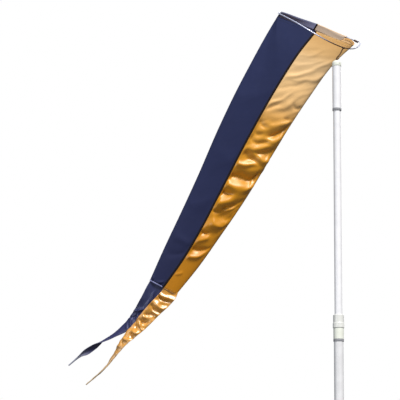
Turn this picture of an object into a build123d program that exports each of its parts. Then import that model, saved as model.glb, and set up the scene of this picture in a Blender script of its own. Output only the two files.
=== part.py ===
from build123d import *
import os
from math import cos, radians, sin

# Windsock with a telescopic pole, in millimetres.
# +Z runs up the pole and the origin is the centre of the pole's foot.
# The wind carries the sock to -X, so the hoop and the sock hang to the left of the pole.

# ---------------------------------------------------------------- pole
LOWER_RADIUS = 15.5
LOWER_BORE = 14.0
LOWER_TOP = 866.0
SEAT_RADIUS = 15.2
UPPER_RADIUS = 12.5
UPPER_BORE = 11.0
UPPER_BOTTOM = 790.0
UPPER_TOP = 1722.0
FOOT_FLANGE = 3.0
FOOT_PLUG_LENGTH = 28.0
RUNNING_FIT = 0.05
OPEN_FIT = 0.4

# ---------------------------------------------------------------- twist lock
LOCK_BOTTOM = 834.0
GASKET_BOTTOM = 826.0
GASKET_RADIUS = 17.2
BODY_RADIUS = 16.9
BODY_TOP = 869.5
NECK_RADIUS = 15.2
NECK_TOP = 892.0
NUT_BOTTOM = 870.0
NUT_SHOULDER_TOP = 888.0
NUT_TOP = 913.0
NUT_SHOULDER_RADIUS = 18.6
NUT_COLLAR_RADIUS = 17.4
NUT_ROOF = 4.0
GRIP_FLUTES = 18
GRIP_FLUTE_RADIUS = 1.6
COLLET_SLOTS = 4
COLLET_SLOT_WIDTH = 1.2
COLLET_SLOT_DEPTH = 12.0
COLLET_RIM = 0.9
COLLET_STRAIGHT = 6.0
COLLET_TOP = 908.0
CONE_ROOM = 0.6

# ---------------------------------------------------------------- rotating head
RING_BOTTOM = 1601.0
SLEEVE_BOTTOM = 1609.0
SLEEVE_TOP = 1756.0
SLEEVE_RADIUS = 14.6
SLEEVE_BORE = 13.2
RING_RADIUS = 15.0
LOWER_BUSH_LENGTH = 14.0
PIVOT_RADIUS = 5.0
PIVOT_FLANGE = 3.0
PIVOT_PLUG_LENGTH = 30.0
WASHER = 1.5
UPPER_BUSH_LENGTH = 14.0
CLIP_THICKNESS = 1.2
CLIP_RIM = 2.4
CLIP_GROOVE = 0.8
CLIP_OPENING = 5.0
BUSH_BOTTOM = UPPER_TOP + PIVOT_FLANGE + WASHER + 0.3
CLIP_BOTTOM = BUSH_BOTTOM + UPPER_BUSH_LENGTH + 0.3
CAP_TOP = 1777.0
CAP_RADIUS = 15.2
CAP_SKIRT = 10.0
CAP_ROUND = 12.0
CAP_GROOVE = 0.9
SCREW_RADIUS = 1.5
SCREW_LENGTH = 12.5
SCREW_HEIGHT = SLEEVE_TOP + 8
SCREW_TURN = -56.0
SCREW_SOCKET = 0.9
SCREW_SOCKET_DEPTH = 2.5

# ---------------------------------------------------------------- hoop and its stem
WIRE_RADIUS = 2.0
HOOP_RADIUS = 150.0
HOOP_CENTRE = Vector(-53, 91, 1916)
STEM_ANGLE = 50.0
STEM_BOTTOM = 1762.0
STEM_BEND_BOTTOM = CAP_TOP + 3
FERRULE_ANGLE = -24.0
FERRULE_LENGTH = 24.0
FERRULE_RADIUS = 3.6
CRIMP_RADIUS = 3.0
CRIMP_WIDTH = 3.0
WIRE_END_GAP = 0.5
# How far the hoop is sprung out of true, below its plane, at each angle round it.
HOOP_SPRING = {
    0: -6, 30: 12, 60: 15, 90: 5, 120: -7, 150: -9,
    180: -6, 210: -4, 240: 0, 270: 0, 300: 2, 330: -2,
}

# ---------------------------------------------------------------- cloth
# The sock streams in a plane that leans 13 degrees back from the vertical.
WIND_LEAN = 13.0
HOOP_TURN = -20.0
HOOP_PITCH = 12.0
CLOTH = 1.0
SEAM_GAP = 2.6
TAPE_WIDTH = 5.0
HEM_GAP = 3.0
HEM_DROP = 14.0
END_HEM = 12.0
FULLNESS = 2.2
# Each station down the sock, at its front seam: across, up, turn, pitch,
# navy half width, gold half width, near bulge, far bulge.
SOCK = [
    (-10, -4, -20, 12, 139, 139, 12, 150),
    (-68, -79, -25, 7, 126, 122, 20, 114),
    (-125, -169, -29, 2, 118, 115, 24, 84),
    (-186, -275, -31, 0, 112, 108, 26, 66),
    (-245, -386, -30, 0, 105, 102, 26, 54),
    (-334, -564, -29, 0, 92, 87, 24, 40),
    (-392, -679, -29, 0, 86, 71, 20, 30),
    (-454, -788, -29, 0, 75, 60, 14, 21),
    (-524, -890, -27, 0, 51, 52, 7, 8),
]
# Each station down a tail: across, up, towards the near side, turn, width, twist.
NAVY_TAIL = [
    (-551, -893, 3, -27, 44, 0),
    (-578, -938, -2, -29, 43, 0),
    (-615, -991, -8, -38, 38, 20),
    (-655, -1032, -12, -50, 31, 38),
    (-693, -1056, -14, -62, 26, 62),
    (-726, -1074, -14, -58, 22, 84),
    (-762, -1098, -12, -54, 21, 150),
    (-786, -1116, -10, -52, 20, 176),
    (-814, -1137, -8, -50, 8, 240),
    (-845, -1163, -6, -50, 5, 290),
]
GOLD_TAIL = [
    (-506, -915, 5, -27, 49, 0),
    (-524, -936, 7, -36, 50, 0),
    (-552, -965, 9, -42, 49, 0),
    (-581, -997, 10, -41, 46, 6),
    (-611, -1030, 10, -41, 41, 18),
    (-639, -1057, 10, -42, 36, 32),
    (-663, -1083, 9, -36, 30, 43),
    (-681, -1109, 8, -34, 23, 52),
    (-698, -1135, 7, -31, 16, 60),
    (-712, -1157, 6, -42, 10, 80),
    (-734, -1181, 6, -45, 8, 120),
    (-758, -1204, 5, -45, 6, 180),
    (-784, -1227, 5, -45, 4, 240),
]

wind = Plane(
    origin=HOOP_CENTRE,
    x_dir=(1, 0, 0),
    z_dir=(0, -cos(radians(WIND_LEAN)), -sin(radians(WIND_LEAN))),
).location
hoop_frame = wind * Rot(0, 0, HOOP_TURN) * Rot(90 + HOOP_PITCH, 0, 0)


def ring(outer, inner, bottom, top):
    """A plain tube or washer about the pole's axis."""
    height = top - bottom
    wall = Cylinder(outer, height) - Cylinder(inner, height)
    return Pos(0, 0, (bottom + top) / 2) * wall


def rod(radius, bottom, top):
    """A solid round about the pole's axis."""
    return Pos(0, 0, (bottom + top) / 2) * Cylinder(radius, top - bottom)


def turned(profile):
    """A body turned about the pole's axis from (radius, height) corners."""
    outline = Polyline([(radius, 0, height) for radius, height in profile], close=True)
    return revolve(make_face(outline), Axis.Z)


# ---------------------------------------------------------------- lower pole
def foot_plug():
    flange = rod(SEAT_RADIUS, 0, FOOT_FLANGE)
    flange = chamfer(flange.edges().group_by(Axis.Z)[0], 0.8)
    plug = ring(LOWER_BORE, LOWER_BORE - 2.5, FOOT_FLANGE, FOOT_PLUG_LENGTH)
    return flange + plug


def lower_tube():
    """Plain tube, turned down a little at the top where the lock is bonded on."""
    return turned([
        (LOWER_BORE, FOOT_FLANGE),
        (LOWER_RADIUS, FOOT_FLANGE),
        (LOWER_RADIUS, GASKET_BOTTOM),
        (SEAT_RADIUS, GASKET_BOTTOM),
        (SEAT_RADIUS, LOWER_TOP),
        (LOWER_BORE, LOWER_TOP),
    ])


def lock_gasket():
    band = ring(GASKET_RADIUS, SEAT_RADIUS, GASKET_BOTTOM, LOCK_BOTTOM)
    return fillet(band.edges().filter_by(GeomType.CIRCLE).group_by(SortBy.RADIUS)[-1], 1.2)


def lock_body():
    """Socket for the lower tube, a web that the tube stops at, and the neck inside the nut."""
    tube_bore = UPPER_RADIUS + OPEN_FIT
    return turned([
        (SEAT_RADIUS, LOCK_BOTTOM),
        (BODY_RADIUS, LOCK_BOTTOM),
        (BODY_RADIUS, BODY_TOP),
        (NECK_RADIUS, BODY_TOP),
        (NECK_RADIUS, NECK_TOP),
        (tube_bore + 1.0, NECK_TOP),
        (tube_bore, NECK_TOP - 1.5),
        (tube_bore, LOWER_TOP),
        (SEAT_RADIUS, LOWER_TOP),
    ])


def lock_collet():
    """Split cone that the nut squeezes on to the upper tube."""
    grip = UPPER_RADIUS + RUNNING_FIT
    cone = turned([
        (grip, NECK_TOP),
        (NECK_RADIUS - CONE_ROOM, NECK_TOP),
        (NECK_RADIUS - CONE_ROOM, NECK_TOP + COLLET_STRAIGHT),
        (grip + COLLET_RIM, COLLET_TOP),
        (grip, COLLET_TOP),
    ])
    slot = Pos(NECK_RADIUS, 0, COLLET_TOP) * Box(2 * NECK_RADIUS, COLLET_SLOT_WIDTH, 2 * COLLET_SLOT_DEPTH)
    for number in range(COLLET_SLOTS):
        cone -= Rot(0, 0, 360 / COLLET_SLOTS * number) * slot
    return cone


def lock_nut():
    """Hand nut with a fluted shoulder and a plain collar, turned to free the upper tube."""
    thread_bore = NECK_RADIUS + RUNNING_FIT
    nut = turned([
        (thread_bore, NUT_BOTTOM),
        (NUT_SHOULDER_RADIUS - 1, NUT_BOTTOM),
        (NUT_SHOULDER_RADIUS, NUT_BOTTOM + 1),
        (NUT_SHOULDER_RADIUS, NUT_SHOULDER_TOP - 3),
        (NUT_COLLAR_RADIUS, NUT_SHOULDER_TOP),
        (NUT_COLLAR_RADIUS, NUT_TOP - 1.5),
        (NUT_COLLAR_RADIUS - 1.5, NUT_TOP),
        (UPPER_RADIUS + OPEN_FIT, NUT_TOP),
        (UPPER_RADIUS + OPEN_FIT, NUT_TOP - NUT_ROOF),
        (UPPER_RADIUS + COLLET_RIM + CONE_ROOM, NUT_TOP - NUT_ROOF),
        (thread_bore, NECK_TOP + COLLET_STRAIGHT + CONE_ROOM),
    ])
    middle = (NUT_BOTTOM + NUT_SHOULDER_TOP) / 2
    for number in range(GRIP_FLUTES):
        flute = Pos(NUT_SHOULDER_RADIUS + 0.9, 0, middle) * Cylinder(GRIP_FLUTE_RADIUS, 40)
        nut -= Rot(0, 0, 360 / GRIP_FLUTES * number) * flute
    return nut


# ---------------------------------------------------------------- upper pole
def bottom_bush():
    """Slides in the lower tube and stops under the lock's web."""
    return ring(LOWER_BORE - RUNNING_FIT, UPPER_RADIUS, UPPER_BOTTOM, UPPER_BOTTOM + 30)


def upper_tube():
    return ring(UPPER_RADIUS, UPPER_BORE, UPPER_BOTTOM, UPPER_TOP)


def pivot_plug():
    """Plug in the top of the upper tube, with the spindle that the head turns on."""
    plug = rod(UPPER_BORE, UPPER_TOP - PIVOT_PLUG_LENGTH, UPPER_TOP)
    flange = rod(UPPER_RADIUS, UPPER_TOP, UPPER_TOP + PIVOT_FLANGE)
    spindle_top = CLIP_BOTTOM + CLIP_THICKNESS + 2.5
    spindle = rod(PIVOT_RADIUS, UPPER_TOP + PIVOT_FLANGE, spindle_top)
    groove_floor = PIVOT_RADIUS - CLIP_GROOVE
    groove = ring(PIVOT_RADIUS + 1, groove_floor, CLIP_BOTTOM, CLIP_BOTTOM + CLIP_THICKNESS)
    return plug + flange + spindle - groove


def thrust_washer():
    bottom = UPPER_TOP + PIVOT_FLANGE
    return ring(UPPER_BORE, PIVOT_RADIUS + 0.1, bottom, bottom + WASHER)


def retaining_clip():
    outer, inner = PIVOT_RADIUS + CLIP_RIM, PIVOT_RADIUS - CLIP_GROOVE
    clip = ring(outer, inner, CLIP_BOTTOM, CLIP_BOTTOM + CLIP_THICKNESS)
    opening = Box(2 * PIVOT_RADIUS, CLIP_OPENING, 4 * CLIP_THICKNESS)
    return clip - Pos(PIVOT_RADIUS, 0, CLIP_BOTTOM) * opening


# ---------------------------------------------------------------- rotating head
def upper_bush():
    bore = PIVOT_RADIUS + RUNNING_FIT
    return ring(SLEEVE_BORE, bore, BUSH_BOTTOM, BUSH_BOTTOM + UPPER_BUSH_LENGTH)


def lower_bush():
    bore = UPPER_RADIUS + RUNNING_FIT
    return ring(SLEEVE_BORE, bore, SLEEVE_BOTTOM, SLEEVE_BOTTOM + LOWER_BUSH_LENGTH)


def rotating_sleeve():
    return ring(SLEEVE_RADIUS, SLEEVE_BORE, SLEEVE_BOTTOM, SLEEVE_TOP)


def sleeve_ring():
    band = ring(RING_RADIUS, UPPER_RADIUS + OPEN_FIT, RING_BOTTOM, SLEEVE_BOTTOM)
    return fillet(band.edges().group_by(Axis.Z)[0].sort_by(SortBy.RADIUS)[-1], 1.5)


def screw_place(out):
    """On the set screw's axis, that far out from the pole's, with Z pointing outward."""
    return Rot(0, 0, SCREW_TURN) * Pos(out, 0, SCREW_HEIGHT) * Rot(0, 90, 0)


def dome_cap():
    """Domed cap with a skirt in the sleeve, bored for the stem and for its set screw."""
    skirt = rod(SLEEVE_BORE, SLEEVE_TOP - CAP_SKIRT, SLEEVE_TOP)
    dome = rod(CAP_RADIUS, SLEEVE_TOP, CAP_TOP)
    dome = fillet(dome.edges().group_by(Axis.Z)[-1], CAP_ROUND)
    groove = ring(CAP_RADIUS + 1, CAP_RADIUS - CAP_GROOVE, SLEEVE_TOP + 1.2, SLEEVE_TOP + 2.6)
    stem_bore = rod(WIRE_RADIUS, STEM_BOTTOM, CAP_TOP + 5)
    clip_room = rod(PIVOT_RADIUS + 3.5, SLEEVE_TOP - CAP_SKIRT - 1, CLIP_BOTTOM + 8)
    bore_run = Cylinder(SCREW_RADIUS, CAP_RADIUS + 2)
    screw_bore = screw_place(CAP_RADIUS / 2) * bore_run
    return skirt + dome - groove - stem_bore - clip_room - screw_bore


def stem_set_screw():
    """Grub screw in the cap's side, tight on the stem."""
    screw = screw_place(WIRE_RADIUS + SCREW_LENGTH / 2) * Cylinder(SCREW_RADIUS, SCREW_LENGTH)
    hexagon = extrude(RegularPolygon(SCREW_SOCKET, 6), SCREW_SOCKET_DEPTH + 1)
    floor = WIRE_RADIUS + SCREW_LENGTH - SCREW_SOCKET_DEPTH
    return screw - screw_place(floor) * hexagon


# ---------------------------------------------------------------- hoop and its stem
def hoop_spring(angle):
    """Out-of-plane offset between two of the listed angles."""
    low = int(angle // 30) * 30
    share = (angle - low) / 30
    return HOOP_SPRING[low % 360] * (1 - share) + HOOP_SPRING[(low + 30) % 360] * share


def hoop_point(angle, below=0.0):
    """A point by the hoop, at an angle from its right end towards its near side."""
    turn = radians(angle)
    x, y = HOOP_RADIUS * cos(turn), HOOP_RADIUS * sin(turn)
    return (hoop_frame * Pos(x, y, hoop_spring(angle) + below)).position


def wire_along(path):
    start = Plane(origin=path @ 0, z_dir=path % 0)
    return sweep(start * Circle(WIRE_RADIUS), path=path)


def hoop_wire():
    """Bent steel wire whose two ends meet inside the ferrule."""
    angles = [FERRULE_ANGLE + WIRE_END_GAP] + list(range(0, 331, 30))
    angles.append(360 + FERRULE_ANGLE - WIRE_END_GAP)
    return wire_along(Spline([hoop_point(angle) for angle in angles]))


def crimp_ferrule():
    middle = hoop_point(FERRULE_ANGLE)
    ahead = hoop_point(FERRULE_ANGLE + 2) - hoop_point(FERRULE_ANGLE - 2)
    place = Plane(origin=middle, z_dir=ahead)
    tube = Cylinder(FERRULE_RADIUS, FERRULE_LENGTH)
    crimp = Cylinder(FERRULE_RADIUS + 1, CRIMP_WIDTH) - Cylinder(CRIMP_RADIUS, CRIMP_WIDTH)
    for side in (-1, 1):
        tube -= Pos(0, 0, side * FERRULE_LENGTH / 4) * crimp
    return place * (tube - Cylinder(WIRE_RADIUS, FERRULE_LENGTH))


def hoop_stem():
    """Rises out of the cap and leans over to meet the hoop's near side."""
    top = hoop_point(STEM_ANGLE, below=WIRE_RADIUS)
    foot = Vector(0, 0, STEM_BEND_BOTTOM)
    straight = Line((0, 0, STEM_BOTTOM), foot)
    along_hoop = hoop_point(STEM_ANGLE - 8) - hoop_point(STEM_ANGLE + 8)
    lean = [foot + (top - foot) * share for share in (0.35, 0.8)]
    bend = Spline([foot, *lean, top], tangents=[(0, 0, 1), along_hoop + Vector(0, 0, 60)])
    return wire_along(Wire([straight.edge(), bend.edge()]))


# ---------------------------------------------------------------- cloth
def sock_location(station):
    across, up, turn, pitch = station[:4]
    return wind * Pos(across, up, 0) * Rot(0, 0, turn) * Rot(90 + pitch, 0, 0)


def arch(half_width, near, far, side):
    """Half of the sock's outline, from its front seam round one side to its back seam."""
    points = []
    for step in range(9):
        angle = radians(90 - 22.5 * step)
        depth = near if step <= 4 else far
        run = abs(cos(angle)) ** (2 / FULLNESS)
        rise = abs(sin(angle)) ** (2 / FULLNESS) * (1 if step <= 4 else -1)
        points.append((side * max(half_width * run, SEAM_GAP), depth * rise))
    return points


def panel_section(station, side):
    navy_half, gold_half, near, far = station[4:]
    half_width = gold_half if side > 0 else navy_half
    outside = arch(half_width, near, far, side)
    inside = arch(half_width - CLOTH, near - CLOTH, far - CLOTH, side)
    outline = Wire([
        Spline(outside).edge(),
        Line(outside[-1], inside[-1]).edge(),
        Spline(inside[::-1]).edge(),
        Line(inside[0], outside[0]).edge(),
    ])
    return sock_location(station) * Face(outline)


def panel(side):
    return loft([panel_section(station, side) for station in SOCK])


def seam_tape(is_front):
    """Folded binding in the gap between the two panels, down the whole tube."""
    sections = []
    for station in SOCK:
        near, far = station[6:]
        depth = near - CLOTH / 2 if is_front else CLOTH / 2 - far
        strip = Pos(0, depth) * Rectangle(TAPE_WIDTH, CLOTH + 0.6)
        sections.append(sock_location(station) * strip)
    return loft(sections)


def hem(first, last, steps=5):
    """Pocket folded over the hoop's wire, open below where the panel is sewn in."""
    sections = []
    for step in range(steps + 1):
        angle = first + (last - first) * step / steps
        place = hoop_frame * Rot(0, 0, angle) * Pos(HOOP_RADIUS, 0, hoop_spring(angle))
        outer, inner = HEM_GAP + CLOTH, HEM_GAP
        outline = Wire([
            Line((outer, HEM_DROP), (outer, 0)).edge(),
            RadiusArc((outer, 0), (-outer, 0), outer).edge(),
            Line((-outer, 0), (-outer, HEM_DROP)).edge(),
            Line((-outer, HEM_DROP), (-inner, HEM_DROP)).edge(),
            Line((-inner, HEM_DROP), (-inner, 0)).edge(),
            RadiusArc((-inner, 0), (inner, 0), -inner).edge(),
            Line((inner, 0), (inner, HEM_DROP)).edge(),
            Line((inner, HEM_DROP), (outer, HEM_DROP)).edge(),
        ])
        sections.append(place * Rot(90, 0, 0) * Face(outline))
    return loft(sections)


def end_hem():
    """Turned hem round the open lower end of the tube."""
    navy_half, gold_half, near, far = SOCK[-1][4:]
    half_width, depth = (navy_half + gold_half) / 2, (near + far) / 2
    band = Ellipse(half_width, depth) - Ellipse(half_width - CLOTH, depth - CLOTH)
    middle = Pos((gold_half - navy_half) / 2, (near - far) / 2)
    return sock_location(SOCK[-1]) * extrude(middle * band, END_HEM)


def tail(stations):
    """Single-layer streamer below the tube, tapering and twisting to its tip."""
    sections = []
    for across, up, nearer, turn, width, twist in stations:
        place = wind * Pos(across, up, nearer) * Rot(0, 0, turn) * Rot(90, 0, 0)
        sections.append(place * Rot(0, 0, twist) * Rectangle(width, CLOTH))
    return loft(sections, ruled=True)


PARTS = {
    "foot_plug": foot_plug,
    "lower_tube": lower_tube,
    "lock_gasket": lock_gasket,
    "lock_body": lock_body,
    "lock_collet": lock_collet,
    "lock_nut": lock_nut,
    "bottom_bush": bottom_bush,
    "upper_tube": upper_tube,
    "pivot_plug": pivot_plug,
    "thrust_washer": thrust_washer,
    "retaining_clip": retaining_clip,
    "upper_bush": upper_bush,
    "lower_bush": lower_bush,
    "rotating_sleeve": rotating_sleeve,
    "sleeve_ring": sleeve_ring,
    "dome_cap": dome_cap,
    "stem_set_screw": stem_set_screw,
    "hoop_stem": hoop_stem,
    "hoop_wire": hoop_wire,
    "crimp_ferrule": crimp_ferrule,
    "navy_panel": lambda: panel(-1),
    "gold_panel": lambda: panel(1),
    "front_seam_tape": lambda: seam_tape(True),
    "back_seam_tape": lambda: seam_tape(False),
    "navy_hem": lambda: hem(181, 268),
    "gold_hem": lambda: hem(272, 304),
    "end_hem": end_hem,
    "navy_tail": lambda: tail(NAVY_TAIL),
    "gold_tail": lambda: tail(GOLD_TAIL),
}

os.makedirs("parts", exist_ok=True)
for node, make in PARTS.items():
    export_step(make(), f"parts/{node}.step")
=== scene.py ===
import math
from collections import namedtuple

import bpy
import numpy as np
from mathutils import Matrix, Vector


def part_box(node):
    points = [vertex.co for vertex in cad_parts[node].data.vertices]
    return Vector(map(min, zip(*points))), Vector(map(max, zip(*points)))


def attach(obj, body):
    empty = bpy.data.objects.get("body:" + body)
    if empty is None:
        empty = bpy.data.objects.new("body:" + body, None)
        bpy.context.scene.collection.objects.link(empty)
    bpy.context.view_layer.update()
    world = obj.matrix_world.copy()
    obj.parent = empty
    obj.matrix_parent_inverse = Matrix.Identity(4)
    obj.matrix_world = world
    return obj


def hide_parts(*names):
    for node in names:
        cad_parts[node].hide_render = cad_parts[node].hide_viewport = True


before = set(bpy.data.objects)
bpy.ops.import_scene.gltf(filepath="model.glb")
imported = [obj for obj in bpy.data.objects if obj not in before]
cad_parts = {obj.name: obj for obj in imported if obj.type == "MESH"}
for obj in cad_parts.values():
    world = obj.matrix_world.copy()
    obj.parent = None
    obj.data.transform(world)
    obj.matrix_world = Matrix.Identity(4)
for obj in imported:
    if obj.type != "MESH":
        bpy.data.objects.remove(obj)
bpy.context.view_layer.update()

# ---- the hoop, in metres
WIRE_RADIUS = 0.002
HOOP_RADIUS = 0.150
HOOP_TURN = math.radians(-20)
HOOP_PITCH = math.radians(12)
# The hoop is sprung out of true, so its box's middle is a little off its centre.
BOX_TO_CENTRE = np.array([-0.00232, -0.00044, 0.00622])
hoop_low, hoop_high = (np.array(corner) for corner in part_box("hoop_wire"))
HOOP_CENTRE = (hoop_low + hoop_high) / 2 + BOX_TO_CENTRE
# How far below its plane the hoop is sprung, at each 30 degrees round it.
HOOP_SPRING = np.array([-6, 12, 15, 5, -7, -9, -6, -4, 0, 0, 2, -2]) / 1000
# Where the stem is welded on, in degrees round the hoop, and from there to the heat's middle.
STEM_ANGLE = 50.0
HEAT_SHIFT = 5.0

# ---- how the cloth hangs
# The sock hangs in a plane whose foot is blown away from the near side. Its places are given
# in that plane, from the hoop's centre.
WIND_LEAN = math.radians(13)
RIGHT = np.array([1.0, 0.0, 0.0])
UP = np.array([0.0, -math.sin(WIND_LEAN), math.cos(WIND_LEAN)])
AWAY = np.array([0.0, math.cos(WIND_LEAN), math.sin(WIND_LEAN)])
# How square the sock's sections are: 2 is an ellipse, and more is squarer.
FULLNESS = 2.2
# Each station down the sock, at its front seam: across, up, turn and pitch in degrees,
# navy half width, gold half width, near bulge, far bulge.
SOCK = np.array([
    (-0.010, -0.004, -20, 12, 0.139, 0.139, 0.012, 0.150),
    (-0.068, -0.079, -25, 7, 0.126, 0.122, 0.020, 0.114),
    (-0.125, -0.169, -29, 2, 0.118, 0.115, 0.024, 0.084),
    (-0.186, -0.275, -31, 0, 0.112, 0.108, 0.026, 0.066),
    (-0.245, -0.386, -30, 0, 0.105, 0.102, 0.026, 0.054),
    (-0.334, -0.564, -29, 0, 0.092, 0.087, 0.024, 0.040),
    (-0.392, -0.679, -29, 0, 0.086, 0.071, 0.020, 0.030),
    (-0.454, -0.788, -29, 0, 0.075, 0.060, 0.014, 0.021),
    (-0.524, -0.890, -27, 0, 0.051, 0.052, 0.007, 0.008),
])
# Each station down a tail: across, up, towards the near side, turn, width, twist and curl.
# The first is inside the sock's lower end.
NAVY_TAIL = np.array([
    (-0.5385, -0.8690, -0.002, -27, 0.051, 0, 0),
    (-0.5530, -0.8940, 0.001, -27, 0.0516, 0, 0),
    (-0.5790, -0.938, -0.002, -29, 0.045, 0, 0),
    (-0.615, -0.991, -0.014, -38, 0.038, 20, 20),
    (-0.655, -1.032, -0.023, -50, 0.031, 38, 35),
    (-0.693, -1.056, -0.023, -62, 0.027, 62, 60),
    (-0.726, -1.074, -0.018, -58, 0.024, 84, 80),
    (-0.762, -1.098, -0.012, -54, 0.023, 150, 70),
    (-0.786, -1.116, -0.010, -52, 0.022, 176, 100),
    (-0.814, -1.137, -0.008, -50, 0.014, 240, 230),
    (-0.845, -1.163, -0.006, -50, 0.011, 290, 290),
])
GOLD_TAIL = np.array([
    (-0.4930, -0.8900, 0.002, -27, 0.049, 0, 0),
    (-0.5045, -0.9145, 0.005, -27, 0.052, 0, 0),
    (-0.522, -0.935, 0.007, -36, 0.052, 0, 0),
    (-0.552, -0.965, 0.009, -42, 0.049, 0, 0),
    (-0.581, -0.997, 0.010, -41, 0.046, 6, 10),
    (-0.611, -1.030, 0.010, -41, 0.041, 18, 20),
    (-0.639, -1.057, 0.010, -42, 0.036, 32, 30),
    (-0.663, -1.083, 0.009, -36, 0.031, 43, 45),
    (-0.681, -1.109, 0.008, -34, 0.025, 52, 70),
    (-0.698, -1.135, 0.007, -31, 0.019, 60, 110),
    (-0.712, -1.157, 0.006, -42, 0.014, 80, 160),
    (-0.734, -1.181, 0.006, -45, 0.012, 120, 220),
    (-0.758, -1.204, 0.005, -45, 0.011, 180, 270),
    (-0.784, -1.227, 0.005, -45, 0.010, 240, 300),
])

# ---- creases pressed into the cloth
# Each crease: down the cloth, across from the front seam, angle in degrees from straight
# across, half its length, half its width, and its height, which is negative for a valley.
GOLD_CREASES = [
    (0.095, 0.030, -36, 0.040, 0.006, 0.0012),
    (0.128, 0.045, -24, 0.055, 0.007, 0.0016),
    (0.155, 0.065, -40, 0.075, 0.009, 0.0028),
    (0.180, 0.085, -28, 0.060, 0.008, 0.0022),
    (0.215, 0.050, -35, 0.050, 0.010, -0.0020),
    (0.284, 0.030, -40, 0.045, 0.007, 0.0032),
    (0.298, 0.055, -45, 0.060, 0.008, 0.0028),
    (0.309, 0.022, -42, 0.035, 0.009, -0.0032),
    (0.294, 0.098, 25, 0.022, 0.010, -0.0040),
    (0.344, 0.098, 10, 0.022, 0.009, -0.0055),
    (0.378, 0.016, 30, 0.026, 0.008, -0.0045),
    (0.364, 0.070, -18, 0.040, 0.011, 0.0045),
    (0.410, 0.018, 15, 0.022, 0.009, -0.0045),
    (0.398, 0.090, -46, 0.036, 0.009, -0.0095),
    (0.428, 0.088, -30, 0.030, 0.012, 0.0070),
    (0.441, 0.030, 10, 0.034, 0.010, -0.0050),
    (0.466, 0.040, -14, 0.045, 0.013, 0.0060),
    (0.478, 0.075, -20, 0.030, 0.010, -0.0080),
    (0.504, 0.036, 38, 0.042, 0.010, -0.0090),
    (0.506, 0.088, 10, 0.030, 0.012, 0.0075),
    (0.532, 0.030, 4, 0.044, 0.010, 0.0060),
    (0.582, 0.060, -8, 0.062, 0.016, -0.0150),
    (0.618, 0.050, -4, 0.058, 0.017, 0.0100),
    (0.648, 0.018, 12, 0.022, 0.010, -0.0085),
    (0.678, 0.026, -10, 0.034, 0.013, 0.0065),
    (0.710, 0.022, -28, 0.026, 0.009, -0.0080),
    (0.690, 0.054, -20, 0.024, 0.007, -0.0045),
    (0.702, 0.052, -14, 0.024, 0.005, 0.0035),
    (0.734, 0.052, 50, 0.034, 0.012, -0.0080),
    (0.764, 0.034, 40, 0.030, 0.010, 0.0080),
    (0.796, 0.016, 20, 0.020, 0.008, -0.0070),
    (0.826, 0.022, -20, 0.022, 0.011, 0.0055),
    (0.869, 0.024, 24, 0.026, 0.010, -0.0090),
    (0.898, 0.026, -6, 0.024, 0.009, 0.0060),
    (0.968, 0.014, -30, 0.012, 0.006, 0.0020),
]
NAVY_CREASES = [
    (0.300, 0.070, 20, 0.060, 0.030, 0.0016),
    (0.520, 0.050, -24, 0.060, 0.030, 0.0018),
    (0.700, 0.045, 30, 0.045, 0.022, 0.0018),
    (0.840, 0.036, -16, 0.040, 0.014, 0.0022),
    (0.895, 0.030, 12, 0.034, 0.012, -0.0018),
    (1.004, 0.028, -16, 0.022, 0.0040, 0.0045),
]
# Each layer of crumple: cell, stretch, angle, slope and seed, then how far down the cloth it
# starts, is full, eases off and ends.
GOLD_CRUMPLE = [
    ((0.020, 3.0, -32, 0.10, 31), 0.02, 0.10, 0.30, 0.45),
    ((0.030, 1.8, -24, 0.26, 32), 0.24, 0.38, 0.70, 0.88),
]
NAVY_CRUMPLE = [
    ((0.060, 2.0, -20, 0.020, 34), 0.05, 0.20, 0.80, 1.00),
]
# Creases of the tails, the same but measured across from the middle, as a share of the width.
GOLD_TAIL_CREASES = [
    (0.013, 0.0, 3, 0.050, 0.007, 0.0075),
    (0.024, -0.10, 10, 0.026, 0.005, -0.0085),
    (0.053, 0.10, -14, 0.022, 0.007, 0.0065),
    (0.073, -0.20, 24, 0.018, 0.006, -0.0085),
    (0.077, 0.25, -30, 0.016, 0.006, 0.0050),
    (0.099, 0.05, -40, 0.020, 0.005, -0.0050),
    (0.111, -0.25, 30, 0.014, 0.006, 0.0060),
    (0.127, 0.15, -35, 0.016, 0.005, -0.0065),
    (0.144, 0.20, 12, 0.016, 0.005, 0.0065),
    (0.157, -0.25, 34, 0.012, 0.005, -0.0050),
    (0.173, 0.15, -28, 0.014, 0.005, 0.0060),
    (0.189, 0.00, 30, 0.012, 0.005, -0.0050),
    (0.207, 0.00, -30, 0.012, 0.005, 0.0040),
    (0.225, 0.00, 35, 0.012, 0.005, -0.0035),
    (0.244, 0.00, -24, 0.010, 0.005, 0.0030),
]
NAVY_TAIL_CREASES = [
    (0.040, 0.22, 66, 0.024, 0.0035, 0.0050),
    (0.070, 0.10, 70, 0.024, 0.0040, 0.0045),
    (0.098, -0.10, -40, 0.020, 0.0040, 0.0040),
    (0.116, 0.15, 50, 0.022, 0.0040, 0.0044),
    (0.128, -0.10, -60, 0.020, 0.0040, -0.0040),
    (0.146, 0.10, 40, 0.020, 0.0045, 0.0040),
    (0.165, 0.10, 20, 0.016, 0.0050, 0.0035),
]
# The tails' crumple: cell, stretch, angle, slope and seed.
NAVY_TAIL_FACETS = (0.022, 2.0, 50, 0.16, 41)
GOLD_TAIL_FACETS = (0.019, 1.4, -20, 0.40, 42)


# ---- places and directions
def unit(vectors):
    """The same directions, with a length of 1."""
    return vectors / np.linalg.norm(vectors, axis=-1, keepdims=True)


def running_length(path):
    """How far along a line of points each one is."""
    return np.concatenate([[0], np.cumsum(np.linalg.norm(np.diff(path, axis=0), axis=1))])


def place(across, up, nearer=0.0):
    """Point at that place in the plane that the sock hangs in, or nearer than it."""
    return HOOP_CENTRE + across * RIGHT + up * UP - nearer * AWAY


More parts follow.
